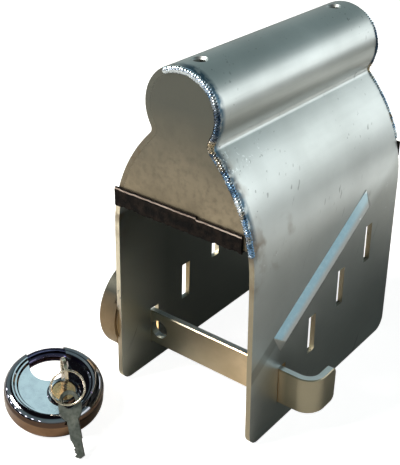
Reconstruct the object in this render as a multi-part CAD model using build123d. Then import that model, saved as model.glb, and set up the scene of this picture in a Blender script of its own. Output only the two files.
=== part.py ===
from build123d import *
from math import cos, degrees, hypot, pi, radians, sin, sqrt, tan
import os

# All sizes are in millimetres. X runs to the right, Y to the rear, Z up.
# The origin is midway between the side panels and their front and rear edges, on the ground.

# Folded housing
housing_depth = 200.0
base_half_width = 63.5
panel_lean = 0.9
sheet = 4.0
head_radius = 30.0
head_centre_z = 243.0
neck_half_width = 25.0
neck_radius = 4.5
shoulder_radius = 118.0
foot_corner_radius = 11.0
top_hole_radius = 4.25
top_hole_inset = 18.0
top_hole_countersink = 1.8

# Slots for the crossbar, stepped up towards the rear
slot_count = 4
slot_width = 9.5
slot_height = 32.5
slot_first_y = 39.0
slot_pitch_y = 39.5
slot_first_z = 35.6
slot_pitch_z = 21.8

# Pressed rib on the right-hand panel
rib_half_width = 10.0
rib_height = 5.5
rib_crest = 2.6
rib_crest_width = 1.5
rib_root = 2.0
rib_low_slope = 4.0
rib_high_slope = 9.0
rib_edge_radius = 1.2
rib_low_y = 34.8
rib_low_z = 75.0
rib_high_y = 152.0
rib_high_z = 142.5

# End plates, weld beads and rubber edge trims
plate_thickness = 4.0
plate_bottom_z = 161.0
plate_gap = 0.1
bead_width = 4.2
bead_proud = 2.0
bead_past_crown = 28.0
trim_wall = 2.6
trim_height = 15.4
trim_gap = 0.1
trim_long_inset = 0.6
trim_end_clearance = 1.0

# Crossbar
bar_height = 30.0
bar_thickness = 6.0
bar_slot_clearance = 0.35
bar_front_clearance = 0.8
bar_end_x = -61.3
bar_bend_inner_radius = 9.0
hook_reach = 24.0
hook_leg = 30.0
hook_corner_radius = 5.0
bar_hole_radius = 8.0
bar_hole_x = -51.0
bar_edge_chamfer = 0.7

# Guard ring for the padlock, outside the left-hand panel
ring_outer_radius = 38.6
ring_wall = 1.4
ring_length = 14.6
ring_centre_y = 35.1
ring_centre_z = 55.0
ring_weld_leg = 3.0
ring_weld_width = 3.5

# Round padlock, lying beside the housing
lock_radius = 37.0
lock_thickness = 28.0
lock_wall = 1.5
lock_edge_radius = 6.0
lock_shoulder_radius = 7.0
lock_rim_z = 27.0
lock_step_z = 25.8
lock_step_radii = (28.6, 27.4)
lock_pad_z = 24.0
lock_pad_radius = 26.2
lock_pad_wall_radius = 27.6
lock_x = -79.5
lock_y = -155.5
lock_turn = 148.0
lock_tilt = 15.5
lock_tilt_towards = -30.0
lock_back_pad_radius = 14.0
lock_back_rise = 4.95
window_half_width = 14.5
window_centre = 17.8
fit_gap = 0.2

# Shackle, its channel and its drive
shackle_radius = 31.0
shackle_rod_radius = 5.0
shackle_clearance = 0.3
shackle_z = 20.0
shackle_start = -118.0
shackle_end = 42.5
gear_module = 1.0
pinion_teeth = 16
sector_teeth = 38
tooth_height = 0.75
tooth_root = 1.1
tooth_tip_width = 0.85
tooth_base_width = 1.65
gear_thickness = 3.4
gear_floor = 6.7
sector_outer_radius = 29.5
rivet_radius = 1.5
rivet_inset = 1.8
rivet_angles = (-103.0, -113.0)
plug_turn = 28.0

# Lock cylinder and plug
cylinder_radius = 8.5
plug_radius = 6.0
plug_clearance = 0.05
tail_radius = 3.0
cylinder_proud = 2.4
collar_radius = 12.4
collar_height = 3.0
collar_gap = 0.6
wafer_count = 5
wafer_thickness = 0.8
wafer_pitch = 2.7
wafer_first_z = 12.8
wafer_length = 10.0
wafer_width = 5.0
clip_radius = 4.6
clip_thickness = 0.8
screw_radius = 1.5

# Keys and their split ring
key_thickness = 2.2
key_bow_length = 23.0
key_bow_width = 17.0
key_hole_radius = 5.0
key_hole_rise = 3.5
key_shank_width = 8.4
key_blade_width = 7.0
key_blade_length = 13.5
key_bow_centre = 24.0
key_seat_gap = 0.1
keyway_clearance = 0.12
key_yaw = 28.0
spare_lean = 29.0
spare_off_tilt = 2.0
spare_tip_clearance = 0.4
spare_roll = -27.0
spare_clearance = 3.9
split_ring_wire = 0.75
split_ring_yaw = 17.0
split_ring_lift = 2.2

# Values worked out from the ones above
lean = radians(panel_lean)
half_depth = housing_depth / 2
pinion_radius = gear_module * pinion_teeth / 2
sector_radius = gear_module * sector_teeth / 2
plug_offset = sector_radius - pinion_radius
bar_y = slot_first_y - slot_width / 2 + bar_front_clearance - half_depth
bar_z = slot_first_z - slot_height / 2 + bar_slot_clearance
bar_middle_z = bar_z + bar_height / 2
plug_floor = gear_floor + gear_thickness + 0.8
plug_top = lock_pad_z + cylinder_proud - 0.2
key_middle_z = plug_top + key_seat_gap + key_bow_centre


def save(name, shape):
    export_step(shape, "parts/" + name + ".step")


def panel_x(z, inset=0.0):
    """Half width of the housing over its leaning side panel at height z."""
    return base_half_width - z * tan(lean) - inset / cos(lean)


def arc_about(centre, first, last):
    """Arc under half a turn about centre, drawn flat."""
    ax, az = first[0] - centre[0], first[1] - centre[1]
    bx, bz = last[0] - centre[0], last[1] - centre[1]
    radius = hypot(ax, az)
    size = hypot(ax + bx, az + bz)
    middle = (centre[0] + (ax + bx) * radius / size, centre[1] + (az + bz) * radius / size)
    return ThreePointArc(first, middle, last)


def towards(start, end, distance):
    dx, dz = end[0] - start[0], end[1] - start[1]
    size = hypot(dx, dz)
    return (start[0] + dx / size * distance, start[1] + dz / size * distance)


def housing_centres():
    """Centres of the head, neck and shoulder arcs on the right-hand side."""
    head = (0.0, head_centre_z)
    neck_x = neck_half_width + neck_radius
    neck = (neck_x, head_centre_z - sqrt((head_radius + neck_radius) ** 2 - neck_x ** 2))
    base_x = base_half_width - shoulder_radius * cos(lean)
    base_z = -shoulder_radius * sin(lean)
    dx, dz = base_x - neck[0], base_z - neck[1]
    half = -dx * sin(lean) + dz * cos(lean)
    reach = shoulder_radius + neck_radius
    along = -half - sqrt(half ** 2 - (dx ** 2 + dz ** 2 - reach ** 2))
    shoulder = (base_x - along * sin(lean), base_z + along * cos(lean))
    return head, neck, shoulder


def side_points(inset, floor):
    """Joints between the straight and round stretches, from the foot to the top of the head."""
    head, neck, shoulder = housing_centres()
    radius = shoulder_radius - inset
    foot = (panel_x(floor, inset), floor)
    bend = (shoulder[0] + radius * cos(lean), shoulder[1] + radius * sin(lean))
    if floor > bend[1]:
        foot = bend = (shoulder[0] + sqrt(radius ** 2 - (floor - shoulder[1]) ** 2), floor)
    waist = towards(shoulder, neck, shoulder_radius - inset)
    throat = towards(head, neck, head_radius - inset)
    crown = (0.0, head_centre_z + head_radius - inset)
    return foot, bend, waist, throat, crown


def side_edges(inset, floor, side):
    """Edges of one side of the keyhole outline: side 1 runs up on the right, side -1 down on the left."""
    points = [(side * x, z) for x, z in side_points(inset, floor)]
    head, neck, shoulder = [(side * x, z) for x, z in housing_centres()]
    centres = (None, shoulder, neck, head)
    edges = []
    for index, centre in enumerate(centres):
        first, last = points[index], points[index + 1]
        if first == last:
            continue
        if side < 0:
            first, last = last, first
        edges.append(Line(first, last) if centre is None else arc_about(centre, first, last))
    return edges if side > 0 else edges[::-1]


def outline(inset, floor=0.0):
    """Keyhole-shaped face of the housing, shrunk by inset, drawn flat with its base at height floor."""
    foot = side_points(inset, floor)[0][0]
    base = Line((-foot, floor), (foot, floor))
    return make_face([base] + side_edges(inset, floor, 1) + side_edges(inset, floor, -1))


def outline_prism(inset, floor, start_y, end_y):
    standing = Plane(origin=(0, end_y, 0), x_dir=(1, 0, 0), z_dir=(0, -1, 0))
    return standing * extrude(outline(inset, floor), amount=end_y - start_y)


def block(low, high):
    size = [high[i] - low[i] for i in range(3)]
    middle = [(high[i] + low[i]) / 2 for i in range(3)]
    return Pos(*middle) * Box(*size)


def rod_x(radius, start_x, end_x, y, z):
    return Pos((start_x + end_x) / 2, y, z) * Rot(0, 90, 0) * Cylinder(radius, end_x - start_x)


def slot_centre(index):
    return slot_first_y + index * slot_pitch_y - half_depth, slot_first_z + index * slot_pitch_z


def slot_cutters():
    reach = base_half_width + sheet
    cutters = []
    for index in range(slot_count):
        y, z = slot_centre(index)
        low = (-reach, y - slot_width / 2, z - slot_height / 2)
        high = (reach, y + slot_width / 2, z + slot_height / 2)
        cutters.append(block(low, high))
    return cutters


def foot_corner_cutter(end):
    """What the rounded foot corner removes; end is -1 at the front and 1 at the rear."""
    radius = foot_corner_radius
    reach = base_half_width + sheet
    y = end * (half_depth - radius)
    first, last = sorted((y, y + end * 2 * radius))
    corner = block((-reach, first, -radius), (reach, last, radius))
    return corner - rod_x(radius, -reach - 1, reach + 1, y, radius)


def rib_plane():
    """Plane across the rib at its low end; X runs up the panel, Y outwards and Z along the rib."""
    low = Vector(panel_x(rib_low_z), rib_low_y - half_depth, rib_low_z)
    high = Vector(panel_x(rib_high_z), rib_high_y - half_depth, rib_high_z)
    along = (high - low).normalized()
    outwards = Vector(cos(lean), 0, sin(lean))
    return Plane(origin=low, x_dir=outwards.cross(along), z_dir=along), (high - low).length


def rib_ridge(sink, edge_radius):
    """Ridge with a steep upper flank and a broad lower one, moved inwards by sink."""
    plane, length = rib_plane()
    half = rib_half_width
    top = rib_height
    crest = [(rib_crest, top), (rib_crest - rib_crest_width, top)]
    corners = [(-half, -rib_root), (half, -rib_root), (half, 0), *crest, (-half, 0)]
    section = Polyline(*corners, close=True)
    ridge = extrude(make_face(section), amount=length + 2 * half)
    ridge = Pos(0, 0, -half) * ridge
    crown_line = [(-rib_low_slope, 0), (0, top), (length - rib_high_slope, top), (length, 0)]
    side = Polyline(*crown_line, (length, -rib_root), (-rib_low_slope, -rib_root), close=True)
    side_plane = Plane(origin=(-2 * half, 0, 0), x_dir=(0, 0, 1), z_dir=(-1, 0, 0))
    end_cut = side_plane * extrude(make_face(side), amount=-4 * half)
    ridge = ridge & end_cut
    crown = [edge for edge in ridge.edges() if edge.center().Y > 0.3]
    ridge = fillet(crown, edge_radius)
    return plane * (Pos(0, -sink, 0) * ridge)


def make_shell():
    shell = outline_prism(0, 0, -half_depth, half_depth)
    shell = shell - outline_prism(sheet, -10, -half_depth - 1, half_depth + 1)
    inside = outline_prism(sheet, -10, -half_depth, half_depth)
    shell = shell + (rib_ridge(0, rib_edge_radius) - inside)
    shell = shell - rib_ridge(sheet, rib_edge_radius)
    for cutter in slot_cutters():
        shell = shell - cutter
    for end in (-1, 1):
        shell = shell - foot_corner_cutter(end)
        y = end * (half_depth - top_hole_inset)
        top = head_centre_z + head_radius
        shell = shell - Pos(0, y, top) * Cylinder(top_hole_radius, head_radius)
        sink = top_hole_countersink
        countersink = Cone(top_hole_radius - 0.1, top_hole_radius + sink, sink + 0.1)
        shell = shell - Pos(0, y, top - sink / 2) * countersink
    return shell


def make_front_plate():
    plate = outline_prism(sheet + plate_gap, plate_bottom_z, -half_depth, -half_depth + plate_thickness)
    return plate


def bead_path(floor):
    """Right-hand side of the joint, from height floor up to the crown and a little past it."""
    inset = bead_width / 2
    radius = head_radius - inset
    past = radians(bead_past_crown)
    middle = (-radius * sin(past / 2), head_centre_z + radius * cos(past / 2))
    end = (-radius * sin(past), head_centre_z + radius * cos(past))
    crown = ThreePointArc((0, head_centre_z + radius), middle, end)
    return Plane.XZ * Wire(side_edges(inset, floor, 1) + [crown])


def make_bead(floor):
    """Half-round weld bead over the joint of the shell and the front plate."""
    path = bead_path(floor)
    start = path @ 0
    section_plane = Plane(origin=(start.X, 0, start.Z), x_dir=(1, 0, 0), z_dir=path % 0)
    upper_half = Pos(0, bead_proud, 0) * Rectangle(bead_width, 2 * bead_proud)
    profile = Ellipse(bead_width / 2, bead_proud) & upper_half
    section = section_plane * profile
    if section.center().Y > 0:
        section = mirror(section, Plane.XZ)
    bead = sweep(section, path=path)
    return Pos(0, -half_depth, 0) * bead


def make_front_bead():
    return make_bead(plate_bottom_z - trim_wall)


def make_rear_bead():
    """The rear joint is welded from the same side, above the long end of the rear trim."""
    trim_top = plate_bottom_z - trim_wall - trim_gap + trim_height
    return mirror(make_bead(trim_top + 1), Plane.XZ)


def make_front_trim():
    """Rubber channel pushed over the bottom edge of the front plate."""
    bottom = plate_bottom_z - trim_wall - trim_gap
    top = bottom + trim_height
    front = -half_depth - trim_gap - trim_wall
    back = -half_depth + plate_thickness + trim_gap + trim_wall
    inner_end = side_points(sheet, top)[0][0] - trim_gap
    long_end = side_points(trim_long_inset, plate_bottom_z)[0][0]
    short_end = side_points(bead_width, top)[0][0] - trim_end_clearance
    outer = block((-long_end, front, bottom), (short_end, -half_depth - trim_gap, top))
    outer = fillet(outer.edges().filter_by(Axis.X).group_by(Axis.Y)[0], 1.2)
    web = block((-inner_end, -half_depth - trim_gap, bottom), (inner_end, back, bottom + trim_wall))
    inner = block((-inner_end, back - trim_wall, bottom), (inner_end, back, top))
    return outer + web + inner


def make_crossbar():
    """Flat bar through the front slots, with its right-hand end bent to the rear as a stop."""
    outer_radius = bar_bend_inner_radius + bar_thickness
    leg_x = base_half_width + hook_reach
    bend_x = leg_x - bar_bend_inner_radius
    front, back = bar_y, bar_y + bar_thickness
    bend_y = back + bar_bend_inner_radius
    end_y = front + hook_leg
    leg_outer = leg_x + bar_thickness
    half = sqrt(0.5)
    outer_middle = (bend_x + outer_radius * half, bend_y - outer_radius * half)
    inner_middle = (bend_x + bar_bend_inner_radius * half, bend_y - bar_bend_inner_radius * half)
    edges = [
        Line((bar_end_x, front), (bend_x, front)),
        ThreePointArc((bend_x, front), outer_middle, (leg_outer, bend_y)),
        Line((leg_outer, bend_y), (leg_outer, end_y)),
        Line((leg_outer, end_y), (leg_x, end_y)),
        Line((leg_x, end_y), (leg_x, bend_y)),
        ThreePointArc((leg_x, bend_y), inner_middle, (bend_x, back)),
        Line((bend_x, back), (bar_end_x, back)),
        Line((bar_end_x, back), (bar_end_x, front)),
    ]
    bar = Pos(0, 0, bar_z) * extrude(make_face(edges), amount=bar_height)
    tip_edges = bar.edges().filter_by(Axis.X).group_by(Axis.Y)[-1]
    bar = fillet(tip_edges, hook_corner_radius)
    long_edges = bar.faces().sort_by(Axis.Z)[0].edges() + bar.faces().sort_by(Axis.Z)[-1].edges()
    bar = chamfer(long_edges, bar_edge_chamfer)
    hole = Pos(bar_hole_x, bar_y + bar_thickness / 2, bar_middle_z) * Rot(90, 0, 0)
    return bar - hole * Cylinder(bar_hole_radius, 3 * bar_thickness)


def make_guard_ring():
    """Round guard that stands out from the left-hand panel and reaches a little past its front edge."""
    y = ring_centre_y - half_depth
    end_x = -panel_x(0) - ring_length
    ring = rod_x(ring_outer_radius, end_x, 0, y, ring_centre_z)
    ring = ring - rod_x(ring_outer_radius - ring_wall, end_x - 1, 1, y, ring_centre_z)
    return ring - outline_prism(0, -10, -housing_depth, half_depth)


def make_ring_weld():
    """Fillet weld round the foot of the guard ring, and its run along the panel's front edge."""
    y = ring_centre_y - half_depth
    foot = panel_x(ring_centre_z)
    weld = Pos(-foot - ring_weld_leg / 2 + 0.5, y, ring_centre_z) * Rot(0, -90, 0) * Cone(
        ring_outer_radius + ring_weld_leg + 0.5, ring_outer_radius, ring_weld_leg + 1)
    weld = weld - rod_x(ring_outer_radius, -base_half_width - ring_length, 0, y, ring_centre_z)
    reach = 2 * base_half_width
    weld = weld & block((-reach, -half_depth + 0.2, -1), (reach, half_depth, 2 * ring_centre_z))
    for cutter in slot_cutters():
        weld = weld - cutter
    weld = weld - outline_prism(0, -10, -half_depth - 1, half_depth + 1)
    inner = ring_outer_radius - ring_wall
    filler = rod_x(inner, -foot - ring_weld_width / 2, -foot + ring_weld_width / 2, y, ring_centre_z)
    front = block((-reach, -housing_depth, 0), (reach, -half_depth, housing_depth))
    return weld + (filler & front)


def case_profile(inset):
    """Half section of the padlock's case, from the axis outwards; X is the radius."""
    radius = lock_radius - inset
    edge = lock_edge_radius - inset
    shoulder = lock_shoulder_radius - inset
    edge_x = lock_radius - lock_edge_radius
    edge_z = lock_back_rise + lock_edge_radius
    shoulder_x = lock_radius - lock_shoulder_radius
    shoulder_z = lock_rim_z - lock_shoulder_radius
    half = sqrt(0.5)
    rim = (shoulder_x, 0, shoulder_z + shoulder)
    edges = [
        Line((0, 0, inset), (lock_back_pad_radius, 0, inset)),
        Line((lock_back_pad_radius, 0, inset), (edge_x, 0, lock_back_rise + inset)),
        ThreePointArc(
            (edge_x, 0, lock_back_rise + inset),
            (edge_x + edge * half, 0, edge_z - edge * half),
            (radius, 0, edge_z)),
        Line((radius, 0, edge_z), (radius, 0, shoulder_z)),
        ThreePointArc(
            (radius, 0, shoulder_z),
            (shoulder_x + shoulder * half, 0, shoulder_z + shoulder * half),
            rim),
    ]
    if inset == 0:
        outer_step, inner_step = lock_step_radii
        step = [(outer_step, 0, lock_step_z), (inner_step, 0, lock_step_z)]
        stops = [rim, *step, (lock_pad_radius, 0, lock_pad_z)]
    else:
        stops = [rim, (lock_pad_wall_radius, 0, lock_pad_z - inset)]
    stops += [(0, 0, lock_pad_z - inset), (0, 0, inset)]
    edges += [Line(first, last) for first, last in zip(stops, stops[1:])]
    return make_face(edges)


def window_cutter(inset):
    """Way through the case for whatever the shackle closes on."""
    half = window_half_width + inset
    tall = 3 * lock_thickness
    end = Pos(window_centre, 0, 0) * Cylinder(half, tall)
    return end + Pos(window_centre + lock_radius, 0, 0) * Box(2 * lock_radius, 2 * half, tall)


def case_body(inset):
    return revolve(case_profile(inset), Axis.Z, 360) - window_cutter(inset)


def shackle_channel():
    radius = shackle_rod_radius + shackle_clearance
    return Pos(0, 0, shackle_z) * Torus(shackle_radius, radius)


def layer(low, high):
    reach = 2 * lock_radius
    return block((-reach, -reach, low), (reach, reach, high))


def at_plug(z, yaw=0.0):
    """Place on the plug's own axis at height z."""
    return Rot(0, 0, plug_turn) * Pos(-plug_offset, 0, z) * Rot(0, 0, yaw)


def cylinder_hole(radius):
    return at_plug(lock_thickness / 2) * Cylinder(radius, 3 * lock_thickness)


def make_lock_back():
    shell = case_body(0) - case_body(lock_wall)
    return (shell & layer(-1, shackle_z)) - shackle_channel()


def make_lock_front():
    shell = case_body(0) - case_body(lock_wall)
    front = (shell & layer(shackle_z, lock_thickness + 1)) - shackle_channel()
    return front - cylinder_hole(cylinder_radius + fit_gap)


def make_lock_core():
    """Block inside the case, within the shackle's sweep, that holds the cylinder over the gears."""
    cavity_top = gear_floor + gear_thickness + 0.6
    rod_inside = shackle_radius - shackle_rod_radius - shackle_clearance
    room = Pos(0, 0, cavity_top + lock_thickness / 2) * Cylinder(rod_inside, lock_thickness)
    core = case_body(lock_wall + fit_gap) & room
    return core - cylinder_hole(cylinder_radius + fit_gap) - screw_hole(screw_radius + fit_gap)


def screw_hole(radius):
    """Straight way for the screw that holds the cylinder in the core."""
    beside = cylinder_radius + 1.2
    tall = 9.0
    return at_plug(gear_floor + gear_thickness + 0.6 + tall / 2) * Pos(beside, 0, 0) * Cylinder(radius, tall)


def make_cylinder_screw():
    head_top = gear_floor + gear_thickness + 0.6
    screw = screw_hole(screw_radius)
    return screw & layer(head_top, lock_thickness)


def make_cylinder():
    bottom = plug_floor
    top = lock_pad_z + cylinder_proud
    place = at_plug((bottom + top) / 2)
    body = place * Cylinder(cylinder_radius, top - bottom)
    body = body - place * Cylinder(plug_radius + plug_clearance, 2 * lock_thickness)
    return body - screw_hole(screw_radius + fit_gap)


def make_collar():
    place = at_plug(lock_pad_z + collar_height / 2)
    collar = place * Cylinder(collar_radius, collar_height)
    collar = chamfer(collar.edges().group_by(Axis.Z)[-1], collar_height - 0.6, 1.6)
    return collar - cylinder_hole(cylinder_radius + collar_gap)


def wafer_levels():
    return [wafer_first_z + index * wafer_pitch for index in range(wafer_count)]


def make_plug():
    """Brass plug with its keyway in the plane of both keys."""
    place = at_plug(0, -key_yaw)
    plug = place * Pos(0, 0, (plug_floor + plug_top) / 2) * Cylinder(plug_radius, plug_top - plug_floor)
    tail_low = gear_floor - clip_thickness - 0.6
    tail = Cylinder(tail_radius, plug_floor - tail_low)
    plug = plug + place * Pos(0, 0, (tail_low + plug_floor) / 2) * tail
    blade_low = plug_top - key_blade_length - 0.6
    keyway_width = key_blade_width + 2 * keyway_clearance
    keyway_gap = key_thickness / 2 + keyway_clearance
    keyway_top = 2 * lock_thickness
    keyway = block((-keyway_width / 2, -keyway_gap, blade_low), (keyway_width / 2, keyway_gap, keyway_top))
    plug = plug - place * keyway
    gap = 0.1
    for level in wafer_levels():
        low = (-wafer_length / 2 - gap, -wafer_width / 2 - gap, level - gap)
        high = (wafer_length / 2 + gap, wafer_width / 2 + gap, level + wafer_thickness + gap)
        plug = plug - place * block(low, high)
    return plug


def make_wafers():
    """Wafers that the key lines up inside the plug."""
    place = at_plug(0, -key_yaw)
    hole_width = key_blade_width / 2 + keyway_clearance
    hole_gap = key_thickness / 2 + keyway_clearance
    wafers = []
    for level in wafer_levels():
        top = level + wafer_thickness
        plate = block((-wafer_length / 2, -wafer_width / 2, level), (wafer_length / 2, wafer_width / 2, top))
        window = block((-hole_width, -hole_gap, level - 1), (hole_width, hole_gap, top + 1))
        wafers.append(place * (plate - window))
    return Compound(wafers)


def ring_point(radius, angle):
    return (radius * cos(angle), radius * sin(angle))


def tooth_prism(sunk, root, tip):
    """One gear tooth on the X axis, from inside the gear's body at sunk to its tip."""
    base, point = tooth_base_width / 2, tooth_tip_width / 2
    corners = [(sunk, -base), (root, -base), (tip, -point), (tip, point), (root, base), (sunk, base)]
    if tip < root:
        corners.reverse()
    return extrude(make_face(Polyline(*corners, close=True)), amount=gear_thickness)


def make_pinion():
    """Gear on the plug's tail, with a tooth that points at the sector."""
    pitch = 2 * pi / pinion_teeth
    root = pinion_radius - tooth_root
    tip = pinion_radius + tooth_height
    gear = Cylinder(root, gear_thickness)
    for index in range(pinion_teeth):
        tooth = Pos(0, 0, -gear_thickness / 2) * tooth_prism(root - 1, root, tip)
        gear = gear + Rot(0, 0, 180 + degrees(index * pitch)) * tooth
    gear = at_plug(gear_floor + gear_thickness / 2) * gear
    return gear - cylinder_hole(tail_radius + 0.02)


def make_sector():
    """Inside-toothed sector that carries the shackle round."""
    pitch = 360 / sector_teeth
    root = sector_radius + tooth_root
    tip = sector_radius - tooth_height
    middle_z = gear_floor + gear_thickness / 2
    travel = 180 * pinion_teeth / sector_teeth
    first = 180 - pitch
    last = 180 + travel + pitch
    disc = Cylinder(sector_outer_radius, gear_thickness) - Cylinder(root, gear_thickness)
    disc = Pos(0, 0, middle_z) * disc
    teeth_in_sector = int((last - first) / pitch) + 2
    sector = disc & wedge(first - pitch / 2, last + pitch)
    for index in range(teeth_in_sector):
        angle = 180 - pitch / 2 + index * pitch
        tooth = Pos(0, 0, gear_floor) * tooth_prism(root + 1, root, tip)
        sector = sector + Rot(0, 0, angle) * tooth
    sector = Rot(0, 0, plug_turn) * sector
    for rivet in rivet_cylinders(rivet_radius + 0.03):
        sector = sector - rivet
    return sector


def wedge(first, last):
    """Tall wedge between two angles under 180 degrees apart, seen from above."""
    reach = 4 * lock_radius
    middle = radians((first + last) / 2)
    a, b = ring_point(reach, radians(first)), ring_point(reach, radians(last))
    far = ring_point(reach, middle)
    face = make_face(Polyline((0, 0), a, far, b, close=True))
    return Pos(0, 0, -lock_thickness) * extrude(face, amount=4 * lock_thickness)


def rivet_cylinders(radius):
    low, high = gear_floor, shackle_z - 1.5
    place_radius = sector_outer_radius - rivet_inset
    rivets = []
    for angle in rivet_angles:
        x, y = ring_point(place_radius, radians(angle))
        rivets.append(Pos(x, y, (low + high) / 2) * Cylinder(radius, high - low))
    return rivets


def make_shackle():
    start, end = radians(shackle_start), radians(shackle_end)
    middle = (start + end) / 2
    path = ThreePointArc(
        (*ring_point(shackle_radius, start), shackle_z),
        (*ring_point(shackle_radius, middle), shackle_z),
        (*ring_point(shackle_radius, end), shackle_z))
    rod = sweep(Plane(origin=path @ 0, z_dir=path % 0) * Circle(shackle_rod_radius), path=path)
    rod = chamfer(rod.edges().filter_by(GeomType.CIRCLE).sort_by(Axis.Y)[-1], 0.8)
    for rivet in rivet_cylinders(rivet_radius + 0.03):
        rod = rod - rivet
    return rod


def make_plug_clip():
    low = gear_floor - clip_thickness - 0.1
    clip = at_plug(low + clip_thickness / 2) * Cylinder(clip_radius, clip_thickness)
    return clip - cylinder_hole(tail_radius + 0.02)


def key_shape():
    """Whole key lying flat, with the middle of its bow at the origin and its blade along -X."""
    tip = -key_bow_centre - key_blade_length
    half = key_blade_width / 2
    bow = Ellipse(key_bow_length / 2, key_bow_width / 2)
    shank = Pos((-key_bow_centre - 3) / 2, 0) * Rectangle(key_bow_centre - 3, key_shank_width)
    depths = (0.9, 1.7, 1.1, 1.9, 0.7)
    step = key_blade_length / (len(depths) + 1)
    points = [(-key_bow_centre + 4, -half), (-key_bow_centre + 4, half), (-key_bow_centre - 1, half)]
    for index, depth in enumerate(depths):
        middle = -key_bow_centre - 2 - index * step
        points.append((middle, half - depth * 0.3))
        points.append((middle - step / 2, half - depth))
    points += [(tip + 1.4, half - 0.8), (tip, 0), (tip + 1.4, -half)]
    blade = make_face(Polyline(*points, close=True))
    face = bow + shank + blade - Pos(key_hole_rise, 0) * Circle(key_hole_radius)
    return Pos(0, 0, -key_thickness / 2) * extrude(face, amount=key_thickness)


def make_key():
    """Key that stands in the plug; its blade points down and its bow is up."""
    return key_group() * Pos(-plug_offset, 0, key_middle_z) * Rot(0, -90, 0) * Rot(90, 0, 0) * key_shape()


def key_group():
    """Turns the keys and their ring about the plug; they are drawn leaning towards -X."""
    return at_plug(0, -key_yaw) * Pos(plug_offset, 0, 0)


def ground_height(out):
    """Height of the ground in the padlock's own frame, as far out as out towards the spare key."""
    tilt = radians(lock_tilt)
    drop = lock_back_pad_radius * sin(tilt)
    return (out * sin(tilt) * cos(radians(spare_off_tilt)) - drop) / cos(tilt)


def spare_place():
    """Location of the spare key, which leans over the case's edge with its tip near the ground."""
    angle = radians(spare_lean)
    over = lock_shoulder_radius + spare_clearance + key_thickness / 2
    shoulder_x = lock_radius - lock_shoulder_radius
    shoulder_z = lock_rim_z - lock_shoulder_radius
    touch = (shoulder_x + over * sin(angle), shoulder_z + over * cos(angle))
    rise = ground_height(1) - ground_height(0)
    above = key_thickness / 2 + spare_tip_clearance
    along = (touch[1] - ground_height(touch[0]) - above) / (sin(angle) + rise * cos(angle))
    tip = (touch[0] + along * cos(angle), touch[1] - along * sin(angle))
    length = key_bow_centre + key_blade_length
    return tip[0] - length * cos(angle), tip[1] + length * sin(angle)


def make_spare_key():
    x, z = spare_place()
    return key_group() * Pos(-x, 0, z) * Rot(0, -spare_lean, 0) * Rot(spare_roll, 0, 0) * key_shape()


def split_ring_frame():
    """Middle, radius and plane of the ring through both bow holes."""
    x, z = spare_place()
    angle = radians(spare_lean)
    first = Vector(-plug_offset, 0, key_middle_z + key_hole_rise)
    second = Vector(-x + key_hole_rise * cos(angle), 0, z + key_hole_rise * sin(angle))
    second = second + Vector(-sin(angle), 0, cos(angle)) * split_ring_lift
    chord = second - first
    across = Vector(0, 1, 0)
    normal = chord.normalized().cross(across)
    yaw = radians(split_ring_yaw)
    tangent = across * cos(yaw) + normal * sin(yaw)
    middle = (first + second) * 0.5
    return Plane(origin=middle, x_dir=chord, z_dir=chord.cross(tangent)), chord.length / 2


def make_split_ring():
    """Split ring of two turns, wound close."""
    plane, radius = split_ring_frame()
    wire = split_ring_wire
    upper = Pos(0, 0, wire * 0.5) * Torus(radius, wire)
    lower = Pos(0, 0, -wire * 0.5) * Torus(radius, wire)
    return key_group() * plane * (upper + lower)


def place_lock(shape):
    """Puts a piece of the padlock on the ground, rocked forward onto its back pad and its rim."""
    drop = lock_back_pad_radius * sin(radians(lock_tilt))
    rock = Rot(0, 0, lock_tilt_towards) * Rot(0, lock_tilt, 0) * Rot(0, 0, -lock_tilt_towards)
    return Pos(lock_x, lock_y, drop) * rock * Rot(0, 0, lock_turn) * shape


def main():
    os.makedirs("parts", exist_ok=True)
    turned = Rot(0, 0, 180)
    front_plate = make_front_plate()
    front_trim = make_front_trim()
    save("shell", make_shell())
    save("front_plate", front_plate)
    save("rear_plate", turned * front_plate)
    save("front_bead", make_front_bead())
    save("rear_bead", make_rear_bead())
    save("front_trim", front_trim)
    save("rear_trim", turned * front_trim)
    save("crossbar", make_crossbar())
    save("guard_ring", make_guard_ring())
    save("ring_weld", make_ring_weld())
    save("lock_back", place_lock(make_lock_back()))
    save("lock_front", place_lock(make_lock_front()))
    save("lock_core", place_lock(make_lock_core()))
    save("lock_cylinder", place_lock(make_cylinder()))
    save("keyway_collar", place_lock(make_collar()))
    save("cylinder_screw", place_lock(make_cylinder_screw()))
    save("plug", place_lock(make_plug()))
    save("plug_wafers", place_lock(make_wafers()))
    save("plug_pinion", place_lock(make_pinion()))
    save("plug_clip", place_lock(make_plug_clip()))
    save("key", place_lock(make_key()))
    save("shackle", place_lock(make_shackle()))
    save("drive_sector", place_lock(make_sector()))
    save("drive_rivets", place_lock(Compound(rivet_cylinders(rivet_radius))))
    save("split_ring", place_lock(make_split_ring()))
    save("spare_key", place_lock(make_spare_key()))


main()
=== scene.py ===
import bpy
import bmesh
import math
from mathutils import Matrix, Vector, noise


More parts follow.
